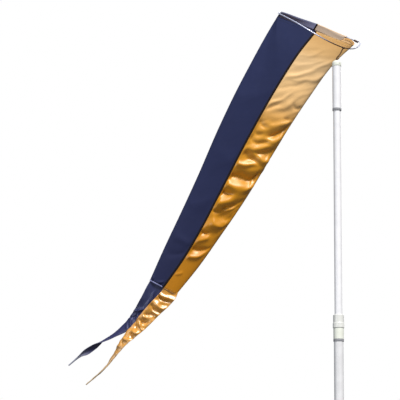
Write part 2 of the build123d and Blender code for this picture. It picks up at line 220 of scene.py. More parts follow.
def smooth_rows(table, count):
    """Rows evenly spaced along a table of stations, on a smooth curve through them."""
    at = running_length(table[:, :2])
    slope = np.gradient(table, at, axis=0)
    want = np.linspace(0, at[-1], count)
    low = np.clip(np.searchsorted(at, want, side="right") - 1, 0, len(at) - 2)
    span = (at[low + 1] - at[low])[:, None]
    t = (want - at[low])[:, None] / span
    rows = (
        (2 * t**3 - 3 * t**2 + 1) * table[low]
        + (t**3 - 2 * t**2 + t) * span * slope[low]
        + (3 * t**2 - 2 * t**3) * table[low + 1]
        + (t**3 - t**2) * span * slope[low + 1]
    )
    return rows, want


def axes(turn, pitch):
    """Across, near and down directions of a section with that turn and pitch."""
    across = math.cos(turn) * RIGHT + math.sin(turn) * UP
    fall = math.sin(turn) * RIGHT - math.cos(turn) * UP
    near = math.sin(pitch) * fall - math.cos(pitch) * AWAY
    return across, near, np.cross(across, near)


HOOP_ACROSS, HOOP_NEAR, HOOP_DOWN = axes(HOOP_TURN, HOOP_PITCH)


def hoop_spring(degrees):
    """How far the wire is below the hoop's plane, smooth between the listed angles."""
    position = np.asarray(degrees, float) / 30 % 12
    low = np.floor(position).astype(int)
    t = position - low
    a, b, c, d = (HOOP_SPRING[(low + k) % 12] for k in (-1, 0, 1, 2))
    return b + t / 2 * (c - a + t * (2 * a - 5 * b + 4 * c - d + t * (3 * (b - c) + d - a)))


def hoop_angle(points):
    """Angle round the hoop, from its right end towards its near side, in degrees."""
    flat = points - HOOP_CENTRE
    return np.degrees(np.arctan2(flat @ HOOP_NEAR, flat @ HOOP_ACROSS))


def hoop_point(degrees, below=0.0):
    """Point on the wire's middle, or below it, at an angle round the hoop."""
    turn = np.radians(np.asarray(degrees, float))[..., None]
    flat = np.cos(turn) * HOOP_ACROSS + np.sin(turn) * HOOP_NEAR
    drop = hoop_spring(degrees)[..., None] + below
    return HOOP_CENTRE + HOOP_RADIUS * flat + drop * HOOP_DOWN


# ---- materials
def linear(red, green, blue):
    """Scene colour from an everyday 0 to 255 one."""
    def one(value):
        value /= 255
        return value / 12.92 if value < 0.04045 else ((value + 0.055) / 1.055) ** 2.4
    return (one(red), one(green), one(blue), 1)


class Looks:
    """A material being built: its nodes, its links and its main shader."""

    def __init__(self, name, **sockets):
        self.material = bpy.data.materials.new(name)
        self.material.use_nodes = True
        self.nodes = self.material.node_tree.nodes
        self.links = self.material.node_tree.links
        self.shader = self.nodes["Principled BSDF"]
        self.coordinates = self.nodes.new("ShaderNodeTexCoord")
        for socket, value in sockets.items():
            self.shader.inputs[socket.replace("_", " ")].default_value = value

    def add(self, kind, settings=None, **sockets):
        """New node, with its settings and the values of its inputs."""
        node = self.nodes.new(kind)
        for name, value in (settings or {}).items():
            setattr(node, name, value)
        for name, value in sockets.items():
            node.inputs[name.replace("_", " ")].default_value = value
        return node

    def link(self, out, into):
        self.links.new(out, into)

    def drive(self, socket, out):
        """Feed an output into one of the main shader's sockets."""
        self.links.new(out, self.shader.inputs[socket])

    def noise(self, source, scale, detail=3.0, stretch=(1, 1, 1)):
        """Smooth random pattern over the object's own metres, or over the cloth's."""
        mapping = self.add("ShaderNodeMapping", Scale=stretch)
        noise = self.add("ShaderNodeTexNoise", Scale=scale, Detail=detail)
        self.link(self.coordinates.outputs[source], mapping.inputs["Vector"])
        self.link(mapping.outputs["Vector"], noise.inputs["Vector"])
        return noise.outputs["Fac"]

    def wave(self, direction, scale):
        """Even bands over the cloth's metres."""
        wave = self.add("ShaderNodeTexWave", {"bands_direction": direction}, Scale=scale, Distortion=0.5)
        self.link(self.coordinates.outputs["UV"], wave.inputs["Vector"])
        return wave.outputs["Fac"]

    def ramp(self, fac, stops, interpolation="LINEAR"):
        """Colours blended between stops, each a position and a 0 to 255 colour."""
        node = self.add("ShaderNodeValToRGB")
        node.color_ramp.interpolation = interpolation
        while len(node.color_ramp.elements) < len(stops):
            node.color_ramp.elements.new(0.5)
        for element, (position, colour) in zip(node.color_ramp.elements, stops):
            element.position, element.color = position, linear(*colour)
        self.link(fac, node.inputs["Fac"])
        return node.outputs["Color"]

    def spread(self, fac, low, high):
        """The middle of a noise's range, spread out from low to high."""
        node = self.add("ShaderNodeMapRange", From_Min=0.3, From_Max=0.7, To_Min=low, To_Max=high)
        self.link(fac, node.inputs["Value"])
        return node.outputs["Result"]

    def times(self, colour, factor):
        """A colour multiplied by a factor or by another colour."""
        mix = self.add("ShaderNodeMix", {"data_type": "RGBA", "blend_type": "MULTIPLY"})
        mix.inputs["Factor"].default_value = 1.0
        self.link(colour, mix.inputs[6])
        self.link(factor, mix.inputs[7])
        return mix.outputs[2]

    def math(self, operation, one, two):
        node = self.add("ShaderNodeMath", {"operation": operation})
        self.link(one, node.inputs[0])
        self.link(two, node.inputs[1])
        return node.outputs[0]

    def bump(self, height, distance, strength=0.5):
        node = self.add("ShaderNodeBump", Strength=strength, Distance=distance)
        self.link(height, node.inputs["Height"])
        self.drive("Normal", node.outputs["Normal"])


def hard_material(name, low, high, roughness, grain_depth=0.00002, grain=700.0, **sockets):
    """Painted, moulded or metal surface: faint mottling, scuffed gloss and a fine grain."""
    looks = Looks(name, **sockets)
    base = looks.ramp(looks.noise("Object", 45.0), [(0.35, low), (0.65, high)])
    looks.drive("Base Color", base)
    streaks = looks.noise("Object", 160.0, stretch=(1, 1, 0.12))
    looks.drive("Roughness", looks.spread(streaks, roughness - 0.06, roughness + 0.1))
    looks.bump(looks.noise("Object", grain), grain_depth)
    return looks.material


def wire_material():
    """Drawn wire, browned by the heat of the weld, mostly a little left of the joint."""
    looks = Looks("drawn_wire", Metallic=0.35, Specular_IOR_Level=0.8)
    away = looks.add("ShaderNodeVectorMath", {"operation": "DISTANCE"})
    away.inputs[1].default_value = tuple(hoop_point(STEM_ANGLE + HEAT_SHIFT))
    looks.link(looks.coordinates.outputs["Object"], away.inputs[0])
    streak = looks.spread(looks.noise("Object", 220.0), -0.008, 0.008)
    reach = looks.math("ADD", away.outputs["Value"], streak)
    base = looks.ramp(reach, [
        (0.0, (88, 60, 38)),
        (0.034, (96, 72, 54)),
        (0.056, (112, 112, 128)),
        (0.092, (196, 201, 226)),
    ])
    looks.drive("Base Color", base)
    looks.drive("Roughness", looks.spread(looks.noise("Object", 400.0), 0.22, 0.38))
    looks.bump(looks.noise("Object", 1500.0), 0.00002)
    return looks.material


# Threads of a plain weave, as a wave's scale over the cloth's metres.
WEAVE = 520.0


def cloth_material(name, stops, roughness, threads=WEAVE, depth=0.00008, mottle=0.05, satin=False,
                   **sockets):
    """Woven cloth. Its UVs are metres on the flat cloth, and its colour changes down its length."""
    looks = Looks(name, **sockets)
    split = looks.add("ShaderNodeSeparateXYZ")
    looks.link(looks.coordinates.outputs["UV"], split.inputs["Vector"])
    base = looks.ramp(split.outputs["Y"], stops, "EASE")
    tone = looks.spread(looks.noise("UV", 16.0, 5.0), 1 - mottle, 1 + mottle)
    slub = looks.spread(looks.noise("UV", 900.0, 2.0, (0.04, 1, 1)), 1 - mottle / 2, 1 + mottle / 2)
    looks.drive("Base Color", looks.times(looks.times(base, tone), slub))
    looks.drive("Roughness", looks.spread(looks.noise("UV", 60.0, 3.0), roughness - 0.04, roughness + 0.06))
    # A satin shows its threads one way only, and a plain weave shows them both ways.
    if satin:
        weave = looks.wave("X", threads)
    else:
        weave = looks.math("MULTIPLY", looks.wave("X", threads), looks.wave("Y", threads))
    looks.bump(weave, depth, 0.4)
    return looks.material


COATED = dict(Coat_Weight=0.25, Coat_Roughness=0.15)
# Each hard look: its material's name, darker and lighter tones, roughness and shader values.
HARD_LOOKS = {
    "tube": ("white_powder_coat", (224, 224, 227), (231, 231, 234), 0.40, COATED),
    "lower_tube": ("weathered_powder_coat", (209, 209, 211), (216, 216, 218), 0.46, COATED),
    "plastic": ("white_plastic", (210, 211, 207), (217, 218, 214), 0.36, COATED),
    "pale": ("pale_green_plastic", (216, 219, 208), (223, 226, 216), 0.5, {}),
    "nylon": ("nylon", (200, 199, 188), (214, 212, 202), 0.6, {}),
    # The rubber rings are painted grey. Part of this is their own grey, and part is painted shade, as they
    # sit in shadow at the lower ends of the sleeve and the lock.
    "rubber": ("dark_rubber", (128, 129, 134), (146, 147, 151), 0.65, {}),
    "bronzed": ("heat_darkened_wire", (66, 44, 22), (92, 64, 36), 0.46, dict(Metallic=0.3)),
    "dark_steel": ("dark_steel", (78, 46, 40), (108, 72, 62), 0.45, dict(Metallic=0.3)),
    "steel": ("plain_steel", (150, 152, 156), (172, 174, 178), 0.35, dict(Metallic=1.0)),
    "thread_navy": ("navy_thread", (30, 34, 62), (40, 44, 74), 0.6, {}),
    "thread_cream": ("cream_thread", (212, 176, 124), (224, 188, 136), 0.5, {}),
    "thread_gold": ("gold_thread", (160, 110, 34), (178, 126, 48), 0.5, {}),
    "thread_black": ("black_thread", (30, 24, 26), (48, 40, 42), 0.6, {}),
}

# Each cloth's colours, by metres down it. The navy tail turns grey towards its tip.
NAVY = [(0.0, (35, 43, 80)), (0.55, (31, 38, 73)), (1.0, (32, 37, 70))]
# The gold is painted pale and creamy towards the mouth, as light shining through the cloth and as the
# satin's sheen there. Lower down it is deeper orange, where less light comes through.
GOLD = [
    (0.0, (212, 164, 100)),
    (0.06, (218, 174, 114)),
    (0.12, (228, 190, 138)),
    (0.24, (236, 192, 132)),
    (0.40, (206, 144, 42)),
    (0.60, (196, 131, 10)),
    (1.0, (186, 120, 4)),
]
TAIL_NAVY = [(0.0, (36, 41, 78)), (0.34, (34, 35, 74)), (0.43, (136, 138, 152))]
# The gold tail is painted darker and greyer towards its tip, as shade on its twisted end.
TAIL_GOLD = [(0.0, (196, 134, 34)), (0.26, (202, 142, 50)), (0.32, (180, 130, 60)), (0.43, (172, 146, 108))]
# The navy's inside is painted much lighter than its outside. Part of this is the cloth's duller back, and
# part is painted light shining through the cloth into the shaded inside.
NAVY_INSIDE = [(0.0, (112, 116, 148)), (1.0, (80, 86, 120))]
GOLD_INSIDE = [(0.0, (206, 168, 120)), (1.0, (190, 136, 70))]
# The navy end hem is painted pale lavender as a highlight along the sock's lower end.
END_HIGHLIGHT_PAINT = [(0.0, (122, 126, 168)), (1.0, (122, 126, 168))]
# The gold hem's inside is painted grey. Part of this is the satin's duller back, and part is painted shade
# with light bounced off the navy.
PAINTED_SHADE_HEM_INSIDE = [(0.0, (176, 158, 140)), (1.0, (166, 148, 130))]
TAPE = [(0.0, (26, 15, 14)), (1.0, (20, 13, 15))]
SATIN_GLOSS = (1.0, 0.89, 0.70, 1)
TAIL_GLOSS = (1.0, 0.93, 0.82, 1)
NAVY_GLOSS = (0.8, 0.82, 1.0, 1)


def satins():
    """The gold satin of the sock, and of its tail, which is glossier."""
    satin = dict(threads=1.5 * WEAVE, depth=0.00005, satin=True, Coat_Roughness=0.36)
    return {
        "gold": cloth_material("gold_satin", GOLD, 0.44, **satin, Coat_Weight=0.42,
                               Specular_IOR_Level=0.45, Specular_Tint=SATIN_GLOSS),
        "tail_gold": cloth_material("gold_satin_tail", TAIL_GOLD, 0.38, **satin, Coat_Weight=0.8,
                                    Specular_IOR_Level=1.0, Specular_Tint=TAIL_GLOSS),
    }


def navy_cloths():
    """The navy cloth of the sock and of its tail, and the pale colour of the hem round its lower end,
    painted as a highlight on it.
    """
    return {
        "navy": cloth_material("navy_cloth", NAVY, 0.74, Sheen_Weight=0.04, Specular_IOR_Level=0.2),
        "tail_navy": cloth_material("navy_cloth_tail", TAIL_NAVY, 0.42, depth=0.00006,
                                    Specular_IOR_Level=0.8, Specular_Tint=NAVY_GLOSS),
        "end_highlight": cloth_material("navy_end_painted_highlight", END_HIGHLIGHT_PAINT, 0.5, Specular_IOR_Level=0.5),
    }


def inner_cloths():
    """The dull backs of both cloths, with the navy one painted lighter as light shining through the cloth.
    Also the gold hem's inside, painted grey as shade with light bounced off the navy, and the seams' tape.
    """
    return {
        "navy_in": cloth_material("navy_inside", NAVY_INSIDE, 0.85, Specular_IOR_Level=0.2),
        "gold_in": cloth_material("satin_inside", GOLD_INSIDE, 0.75, Specular_IOR_Level=0.3),
        "grey_in": cloth_material("gold_hem_inside_painted_shade", PAINTED_SHADE_HEM_INSIDE, 0.8, Specular_IOR_Level=0.2),
        "tape": cloth_material("black_tape", TAPE, 0.8, 2 * WEAVE, 0.00010, 0.08, Specular_IOR_Level=0.2),
    }


def make_materials():
    made = {"wire": wire_material(), **navy_cloths(), **satins(), **inner_cloths()}
    for look, (name, low, high, roughness, sockets) in HARD_LOOKS.items():
        made[look] = hard_material(name, low, high, roughness, **sockets)
    made["floor"] = hard_material("pale_floor", (184, 185, 187), (190, 191, 192), 0.8, 0.0004, 90.0)
    return made


materials = make_materials()


# ---- mesh helpers
# A sheet of cloth as rows of points from edge to edge, with the outward direction at each and
# how far it is down the cloth and across it, in metres.
Grid = namedtuple("Grid", "points outward down across")
CLOTH_THICKNESS = 0.0006


def add_object(name, data):
    """New object in the scene."""
    added = bpy.data.objects.new(name, data)
    bpy.context.scene.collection.objects.link(added)
    return added


def new_piece(name, mesh, looks):
    """New piece of the object, with those materials, which turns with the hoop."""
    piece = add_object(name, mesh)
    for look in looks:
        mesh.materials.append(materials[look])
    mesh.shade_smooth()
    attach(piece, "head")
    return piece


def tube_faces(first, bands, around):
    """Faces of a tube made of rings of vertices, from its first vertex on."""
    faces = []
    for band in range(bands):
        for k in range(around):
            a, b = first + band * around + k, first + band * around + (k + 1) % around
            faces.append((a, b, b + around, a + around))
    return faces


def lengths_along(points, axis):
    """Running length over a grid of points along one of its axes."""
    steps = np.linalg.norm(np.diff(points, axis=axis), axis=2)
    start = np.zeros_like(np.take(steps, [0], axis=axis))
    return np.cumsum(np.concatenate([start, steps], axis=axis), axis=axis)


def cloth_piece(name, points, across, down, looks, thickness, flip=False, inside_look=False):
    """A sheet from rows of points. Its UVs are the given across and down metres. Where it has an inside
    look, its second look is on its inside."""
    rows, columns = points.shape[:2]
    index = np.arange(rows * columns).reshape(rows, columns)
    corners = [index[:-1, :-1], index[1:, :-1], index[1:, 1:], index[:-1, 1:]]
    if flip:
        corners.reverse()
    faces = np.stack(corners, axis=-1).reshape(-1, 4)
    mesh = bpy.data.meshes.new(name)
    mesh.from_pydata(points.reshape(-1, 3).tolist(), [], faces.tolist())
    corner = np.zeros(len(mesh.loops), int)
    mesh.loops.foreach_get("vertex_index", corner)
    cloth = np.stack([across.ravel(), down.ravel()], axis=1)
    layer = mesh.uv_layers.new(name="cloth")
    layer.data.foreach_set("uv", cloth[corner].ravel())
    mesh.update()
    piece = new_piece(name, mesh, looks)
    solid = piece.modifiers.new("cloth_thickness", "SOLIDIFY")
    solid.thickness = thickness
    solid.offset = 0
    solid.material_offset = 1 if inside_look else 0
    return piece


def strip_piece(name, sections, looks, thickness):
    """A strip of cloth from its sections, with its UVs' X along it and Y round each section."""
    sections = np.array(sections)
    around, along = lengths_along(sections, 1), lengths_along(sections, 0)
    return cloth_piece(name, sections, along, around, looks, thickness)


def normals_of(points):
    """Unit normals of a grid, on the side from which its rows run left to right going down."""
    normal = np.cross(np.gradient(points, axis=0), np.gradient(points, axis=1))
    return normal / np.maximum(np.linalg.norm(normal, axis=2, keepdims=True), 1e-9)


def fade(values, start, end):
    """0 at start and 1 at end, smooth between."""
    t = np.clip((values - start) / (end - start), 0, 1)
    return t * t * (3 - 2 * t)


# ---- folds and crumple
WAVER = 0.0034
# The waver's waves: share, radians per metre across and down, and start.
DOWN_WAVES = ((1.0, 58, 21, 0), (0.5, 95, -70, 1))
ACROSS_WAVES = ((1.0, 0, 47, 2), (0.5, -50, 90, 0))
# How much a crease bows towards its ends, as a share of its half length.
CREASE_BOW = 0.25
# A crease's profile is nothing farther off than this many half widths.
CREASE_REACH = 20
# How rounded the lines are where facets meet, as a share of their cell.
FACET_ROUNDING = 0.14


def waver(down, across, waves):
    """How far a crease strays from its straight line."""
    return WAVER * sum(share * np.sin(a * across + d * down + start) for share, a, d, start in waves)


def turned(down, across, angle):
    """How far points are along a line, and off it, at an angle in degrees from straight across."""
    cos, sin = math.cos(math.radians(angle)), math.sin(math.radians(angle))
    return across * cos + down * sin, down * cos - across * sin


def creased(down, across, creases):
    """Height of the pressed-in creases over the cloth, each a soft, wavering ridge or valley."""
    height = np.zeros_like(down)
    down, across = down + waver(down, across, DOWN_WAVES), across + waver(down, across, ACROSS_WAVES)
    for at_down, at_across, angle, half_length, half_width, size in creases:
        run, off = turned(down - at_down, across - at_across, angle)
        off += CREASE_BOW * run**2 / half_length
        profile = 1 / np.cosh(np.clip(off / half_width, -CREASE_REACH, CREASE_REACH)) ** 2
        height += size * profile * np.exp(-((run / half_length) ** 4))
    return height


def crumpled(down, across, cell, stretch, angle, slope, seed):
    """Facets of crumpled cloth: sloping planes that meet in creases between random low points."""
    along, off = turned(down, across, angle)
    along /= stretch
    rng = np.random.default_rng(seed)
    spread = np.array([along.max() - along.min(), off.max() - off.min()]) + 2 * cell
    count = int(spread[0] * spread[1] / cell**2)
    lows = rng.uniform(0, 1, (count, 2)) * spread + [along.min() - cell, off.min() - cell]
    rounding = FACET_ROUNDING * cell
    total = np.zeros_like(down)
    for low_along, low_off in lows:
        distance = np.sqrt((along - low_along) ** 2 + (off - low_off) ** 2 + rounding**2)
        total += np.exp(-distance / rounding)
    return -slope * rounding * np.log(total)


# ---- the sock's two panels
ROWS = 330
COLUMNS = 97
OUTLINE_POINTS = 400
SEAM_GAP = 0.0012
# The far half has the near half's creases, shifted down it and shallower, and less crumple.
FAR_SHIFT = 0.05
FAR_SHARE = 0.7
FAR_CRUMPLE = 0.35
# How far from the side fold the near creases have given way to the far ones.
FOLD_BLEND = 0.005
# The mouth's far half follows the sprung wire, and its right end is lifted a little. Both ease
# off over this share of the rows.
MOUTH_EASING = 0.12
CORNER_LIFT = 0.006
CORNER_ANGLE = -34
CORNER_SPREAD = 18
# How near to the mouth, the lower end, the seams and the side fold the cloth is held flat, and
# how far from them it is free.
HELD_MOUTH = (0.006, 0.05)
HELD_END = (0.002, 0.014)
HELD_SEAM = (0.001, 0.012)
HELD_FOLD = (0.0, 0.012)


def even_arch(half_width, near, far):
    """Outline from the front seam round one side to the back seam, evenly spaced."""
    angle = np.linspace(math.pi / 2, -math.pi / 2, OUTLINE_POINTS)
    x = half_width * np.abs(np.cos(angle)) ** (2 / FULLNESS)
    y = np.where(angle >= 0, near, -far) * np.abs(np.sin(angle)) ** (2 / FULLNESS)
    at = running_length(np.stack([x, y], axis=1))
    want = np.linspace(0, at[-1], COLUMNS)
    return np.interp(want, at, x), np.interp(want, at, y)


def panel_grid(side):
    """Rows of points from the front seam round one side to the back seam."""
    stations, _ = smooth_rows(SOCK, ROWS)
    points = np.zeros((ROWS, COLUMNS, 3))
    for number, (across, up, turn, pitch, navy_half, gold_half, near, far) in enumerate(stations):
        out, close, _ = axes(math.radians(turn), math.radians(pitch))
        x, y = even_arch(gold_half if side > 0 else navy_half, near, far)
        x = np.maximum(x, SEAM_GAP) * side
        points[number] = place(across, up) + x[:, None] * out + y[:, None] * close
    top = points[0]
    angle = hoop_angle(top)
    lift = np.where((top - HOOP_CENTRE) @ HOOP_NEAR < 0, hoop_spring(angle), 0.0)
    lift -= CORNER_LIFT * np.exp(-(((angle - CORNER_ANGLE) / CORNER_SPREAD) ** 2))
    easing = 1 - fade(np.arange(ROWS) / ROWS, 0.0, MOUTH_EASING)
    return points + easing[:, None, None] * lift[None, :, None] * HOOP_DOWN


def held_edges(down, across, side_fold):
    """1 in the middle of the cloth and 0 along its seams, hems and pulled-tight side fold."""
    ends = fade(down, *HELD_MOUTH) * fade(down[-1:] - down, *HELD_END)
    seams = fade(across, *HELD_SEAM) * fade(across[:, -1:] - across, *HELD_SEAM)
    return ends * seams * fade(np.abs(side_fold - across), *HELD_FOLD)


def side_columns(points):
    """For each row, the column farthest out from its seams, where the cloth turns back."""
    seams = (points[:, :1] + points[:, -1:]) / 2
    return np.argmax(np.linalg.norm(points - seams, axis=2), axis=1)


def make_panel(name, side, creases, crumple, looks, node):
    """One half of the sock: the right half where side is 1, and the left one where it is -1."""
    points = panel_grid(side)
    down, across = lengths_along(points, 0), lengths_along(points, 1)
    outward = normals_of(points) * side
    side_fold = across[np.arange(ROWS), side_columns(points)][:, None]
    far_half = fade(across - side_fold, -FOLD_BLEND, FOLD_BLEND)
    far_creases = creased(down + FAR_SHIFT, across[:, -1:] - across, creases)
    height = creased(down, across, creases) * (1 - far_half) + FAR_SHARE * far_creases * far_half
    for layer, start, full, easing, end in crumple:
        facets = crumpled(down, across, *layer)
        strength = fade(down, start, full) * (1 - fade(down, easing, end))
        height += (facets - facets.mean()) * strength * (1 - (1 - FAR_CRUMPLE) * far_half)
    shape = height * held_edges(down, across, side_fold)
    points = points + outward * shape[..., None]
    piece = cloth_piece(name, points, across, down, looks, CLOTH_THICKNESS, side < 0, inside_look=True)
    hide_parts(node)
    return piece, Grid(points, outward, down, across)


# ---- tapes
Seam = namedtuple("Seam", "line outward across")
TAPE_HALF = 0.0034
TAPE_RISE = 0.0010
TAPE_DOME = 0.55
TAPE_CLEAR = 0.0001
TAPE_THICKNESS = 0.0009
# Half the binding's width where it goes over the wire, and its distance from the wire's centre.
LOOP_HALF = 0.003
LOOP_RADIUS = WIRE_RADIUS + 0.0020


def seam_between(one, other, edge, inner, across):
    """Line midway between two panels' edges. Its outward way is taken at an inner column."""
    line = (one.points[:, edge] + other.points[:, edge]) / 2
    return Seam(line, (one.outward[:, inner] + other.outward[:, inner]) / 2, across)


def make_tape(name, seam, node):
    """Folded binding over a seam, a little domed, with both of its edges lower than its middle."""
    shares = np.linspace(-1, 1, 9)
    sideways = (TAPE_HALF * shares)[None, :, None]
    lift = (TAPE_RISE * (1 - TAPE_DOME * shares**4) + TAPE_CLEAR)[None, :, None]
    sections = seam.line[:, None] + seam.across[:, None] * sideways + seam.outward[:, None] * lift
    around, along = lengths_along(sections, 1), lengths_along(sections, 0)
    piece = cloth_piece(name, sections, around, along, ["tape"], TAPE_THICKNESS)
    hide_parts(node)
    return piece


def loop_strip(seam, down):
    """The seam as a narrow strip of cloth, for the binding that goes on over the wire."""
    points = np.stack([seam.line + shift * seam.across for shift in (LOOP_HALF, 0, -LOOP_HALF)], axis=1)
    outward = np.stack([seam.outward] * 3, axis=1)
    return Grid(points, outward, np.repeat(down[:, -1:], 3, axis=1), lengths_along(points, 1))


# ---- hems
HEM_DROP = 0.014
# The gold half's mouth hem starts at this angle round the hoop.
HEM_ANGLE = -46
# The gold half's mouth hem starts with this share of its depth, and is full after 4 columns.
TAPERED_START = 0.35
TAPERED_COLUMNS = 4
POCKET_RADIUS = WIRE_RADIUS + 0.0013
POCKET_THICKNESS = 0.0005
POCKET_PUCKER = 0.00008
PUCKER_TURNS = (2.1, 0.9)
# How soon a pocket's flaps close on the cloth: 1 is evenly, and less is sooner.
FLAP_CLOSING = 0.7
FLAP_POINTS = 6
WRAP_ANGLES = np.linspace(180, 0, 9)[1:-1]
# How far a hem's flaps stay from the middle of the cloth between them.
CLOTH_GAP = 0.0007
# The row of cloth towards which a narrow hem is sewn down, and how close it lies there.
NEAR_ROW = 4
EDGE_CLOSING = 0.35
EDGE_THICKNESS = 0.0004


def pocket_section(grid, column, order, drop, radius):
    """Section of a hem, from its inner flap's end over the wire to its outer flap's end."""
    row = max(2, int(np.searchsorted(grid.down[:, column], drop)))
    top, low = grid.points[0, column], grid.points[row, column]
    wire = hoop_point(hoop_angle(top))
    radial = wire - HOOP_CENTRE
    radial = unit(radial - (radial @ HOOP_DOWN) * HOOP_DOWN)
    pucker = POCKET_PUCKER * sum(math.sin(order * turn) for turn in PUCKER_TURNS)
    inner, outer = [], []
    for share in np.linspace(0, 1, FLAP_POINTS):
        gap = radius + (CLOTH_GAP - radius) * share**FLAP_CLOSING + pucker * share
        lie = radial * (1 - share) + grid.outward[row, column] * share
        spot = wire + (low - wire) * share
        bulge = (grid.points[round(share * row), column] - spot) @ lie
        inner.append(spot - lie * max(gap, CLOTH_GAP - bulge))
        outer.append(spot + lie * max(gap, CLOTH_GAP + bulge))
    over = [wire + radius * (math.cos(turn) * radial - math.sin(turn) * HOOP_DOWN)
            for turn in np.radians(WRAP_ANGLES)]
    return inner[::-1] + over + outer


def make_pocket(name, grid, columns, tapered, looks, radius=POCKET_RADIUS):
    """Mouth hem folded over the hoop's wire and sewn down inside and outside the cloth."""
    sections = []
    for order, column in enumerate(columns):
        grown = float(fade(np.array(order), 0, TAPERED_COLUMNS)) if tapered else 1.0
        drop = HEM_DROP * (TAPERED_START + (1 - TAPERED_START) * grown)
        sections.append(pocket_section(grid, column, order, drop, radius))
    piece = strip_piece(name, sections, looks, POCKET_THICKNESS)
    # The outer flap shows the cloth's outside.
    strips = np.arange(len(sections[0]) - 1) >= FLAP_POINTS + 1
    piece.data.polygons.foreach_set("material_index", np.tile(strips.astype(int), len(columns) - 1))
    return piece


def make_edge_fold(name, grid, ends, columns, looks, depth=0.009, radius=0.0008, side=1):
    """Narrow hem rolled over the cloth's edge and sewn down inside, or outside if side is -1."""
    edge, below = ends
    sections = []
    for column in columns:
        top, low = grid.points[edge, column], grid.points[below, column]
        out = side * grid.outward[edge, column]
        fall = unit(low - top)
        out = unit(out - (out @ fall) * fall)
        section = [top + fall * share * depth - out * radius * (1 - EDGE_CLOSING * share)
                   for share in np.linspace(1, 0, 5)]
        section += [top + radius * (math.cos(turn) * out - math.sin(turn) * fall)
                    for turn in np.radians(np.linspace(165, -15, 8))]
        sections.append(section)
    return strip_piece(name, sections, looks, EDGE_THICKNESS)


# ---- stitches
STITCH_RADIUS = 0.00028
STITCH_END = 0.45
STITCH_ROW = 3
# Spacing and length of the stitches.
HEM_STITCH = (0.0042, 0.0028)
TAPE_STITCH = (0.0045, 0.0030)
# How far the stitches' centres stand off the cloth, and off the seams under the tapes.
HEM_STITCH_LIFT = 0.0004
TAPE_STITCH_LIFT = 0.00135
TAPE_STITCH_SHIFT = 0.0022


def stitch_ring(centre, radius, side, up):
    """Five points round a thread."""
    turns = np.radians([90, 18, 306, 234, 162])
    return [centre + radius * (math.cos(turn) * side + math.sin(turn) * up) for turn in turns]


def point_at(length, at, path):
    """Point at that length along a path, whose points are at the given lengths."""
    return np.array([np.interp(length, at, path[:, k]) for k in range(3)])


def make_stitches(name, path, outward, size, looks):
    """A row of short thread stitches, each a small rounded bar lying on the cloth."""
    spacing, length = size
    at = running_length(path)
    verts, faces = [], []
    for start in np.arange(spacing, at[-1] - spacing, spacing):
        one, other = point_at(start, at, path), point_at(start + length, at, path)
        up = unit(point_at(start, at, outward))
        ahead = unit(other - one)
        side = np.cross(ahead, up)
        tip = ahead * STITCH_RADIUS
        first = len(verts)
        for centre, share in ((one - tip, STITCH_END), (one, 1), (other, 1), (other + tip, STITCH_END)):
            verts += stitch_ring(centre, STITCH_RADIUS * share, side, up)
        faces += tube_faces(first, 3, 5)
        faces.append(tuple(first + k for k in range(4, -1, -1)))
        faces.append(tuple(first + 15 + k for k in range(5)))
    mesh = bpy.data.meshes.new(name)
    mesh.from_pydata([tuple(v) for v in verts], [], faces)
    layer = mesh.uv_layers.new(name="cloth")
    layer.data.foreach_set("uv", np.zeros(len(mesh.loops) * 2))
    mesh.update()
    return new_piece(name, mesh, looks)


def stitch_row(name, grid, row, looks):
    """Stitches along one row of a panel, just proud of its outer side."""
    clear = slice(2, -2)
    path, outward = grid.points[row, clear], grid.outward[row, clear]
    return make_stitches(name, path + outward * HEM_STITCH_LIFT, outward, HEM_STITCH, looks)


def stitch_tape(name, seam):
    """Stitches down both sides of a seam's tape."""
    rows = []
    for side, shift in (("left", -TAPE_STITCH_SHIFT), ("right", TAPE_STITCH_SHIFT)):
        path = seam.line + seam.across * shift + seam.outward * TAPE_STITCH_LIFT
        rows.append(make_stitches(f"{name}_{side}_stitches", path, seam.outward, TAPE_STITCH,
                                  ["thread_black"]))
    return rows


# ---- tails
TAIL_ROWS = 260
TAIL_COLUMNS = 27
# The tail is held flat at its start, and free after this length.
TAIL_HELD = 0.03
# How much of each tail is inside the sock. Its creases are measured from the sock's end.
TAIL_START = 0.028
# The tails' creases grow with the width, up to this one.
FULL_CREASE_WIDTH = 0.032
EDGE_ROLL = 0.0008
ROLL_ANGLES = np.radians(np.linspace(50, 280, 5))


def tail_ribbon(stations):
    """Rows of points across a curled and twisted ribbon."""
    share = np.linspace(-0.5, 0.5, TAIL_COLUMNS)
    width = stations[:, 4][:, None]
    curl = np.radians(np.maximum(stations[:, 6], 1))[:, None]
    sideways = width * np.sin(share * curl) / curl
    bowed = width * (np.cos(share * curl) - np.cos(curl / 4)) / curl
    points = np.zeros((TAIL_ROWS, TAIL_COLUMNS, 3))
    for number, (across, up, nearer, turn, _, twist, _) in enumerate(stations):
        out, close, _ = axes(math.radians(turn), 0.0)
        cos, sin = math.cos(math.radians(twist)), math.sin(math.radians(twist))
        lie, bow = cos * out + sin * close, cos * close - sin * out
        points[number] = (place(across, up, nearer) + sideways[number][:, None] * lie
                          + bowed[number][:, None] * bow)
    return points, share[None, :] * width


def roll_edges(points, normal):
    """The ribbon with a small roll of cloth added along both of its edges."""
    turns = ROLL_ANGLES[:, None, None]
    edges = []
    for column, inward in ((0, 1), (-1, -2)):
        outward = unit(points[:, column] - points[:, inward])
        roll = np.sin(turns) * outward - (1 - np.cos(turns)) * normal[:, column]
        edges.append(points[:, column] + EDGE_ROLL * roll)
    left, right = edges
    return np.concatenate([left[::-1].transpose(1, 0, 2), points, right.transpose(1, 0, 2)], axis=1)


